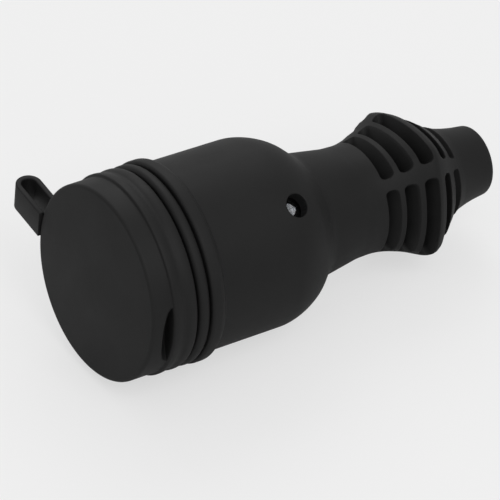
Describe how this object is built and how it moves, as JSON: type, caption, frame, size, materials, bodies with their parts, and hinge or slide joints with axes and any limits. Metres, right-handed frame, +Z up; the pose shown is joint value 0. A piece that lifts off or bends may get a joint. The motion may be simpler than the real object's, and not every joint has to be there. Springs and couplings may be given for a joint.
{
  "type": "rubber trailing socket",
  "caption": "Splash-proof rubber trailing socket with strap-held lid, slotted kink boot and a screwed-in contact insert.",
  "frame": {"origin": "middle of the bounding box at the level of the surface that the socket lies on", "axes": "+X from the lid to the cable end, +Y towards the strap, +Z up; the socket's axis falls 7.2 degrees towards +X, because it rests on its bead and on one side of the boot"},
  "size_m": [0.1262, 0.0708, 0.056],
  "materials": {
    "black_rubber": "satin moulded rubber",
    "insert_plastic": "hard moulded plastic",
    "steel": "zinc plated steel",
    "brass": "bright brass",
    "nickel": "nickel plated spring strip"
  },
  "bodies": {
    "socket_body": {"rubber_body": "black_rubber", "lid_ring": "black_rubber", "lid_strap": "black_rubber", "socket_insert": "insert_plastic", "terminal_carrier": "insert_plastic", "earth_bracket": "nickel", "retaining_screw": "steel", "retaining_nut": "steel", "line_contact": "brass", "line_pressure_plate": "steel", "line_terminal_screw": "steel", "neutral_contact": "brass", "neutral_pressure_plate": "steel", "neutral_terminal_screw": "steel", "earth_terminal": "brass", "earth_pressure_plate": "steel", "earth_terminal_screw": "steel", "cord_clamp": "insert_plastic", "clamp_screw_left": "steel", "clamp_screw_right": "steel", "insert_screw": "steel"},
    "lid_body": {"lid": "black_rubber"}
  },
  "joints": [
    {"name": "lid_hinge", "type": "hinge", "parent": "socket_body", "child": "lid_body", "pos_m": [-0.04385, 0.02238, 0.02971], "axis": [-0.0648, 0.0523, -0.9965], "range_deg": [0, 165], "deforming": ["lid_strap"]}
  ]
}
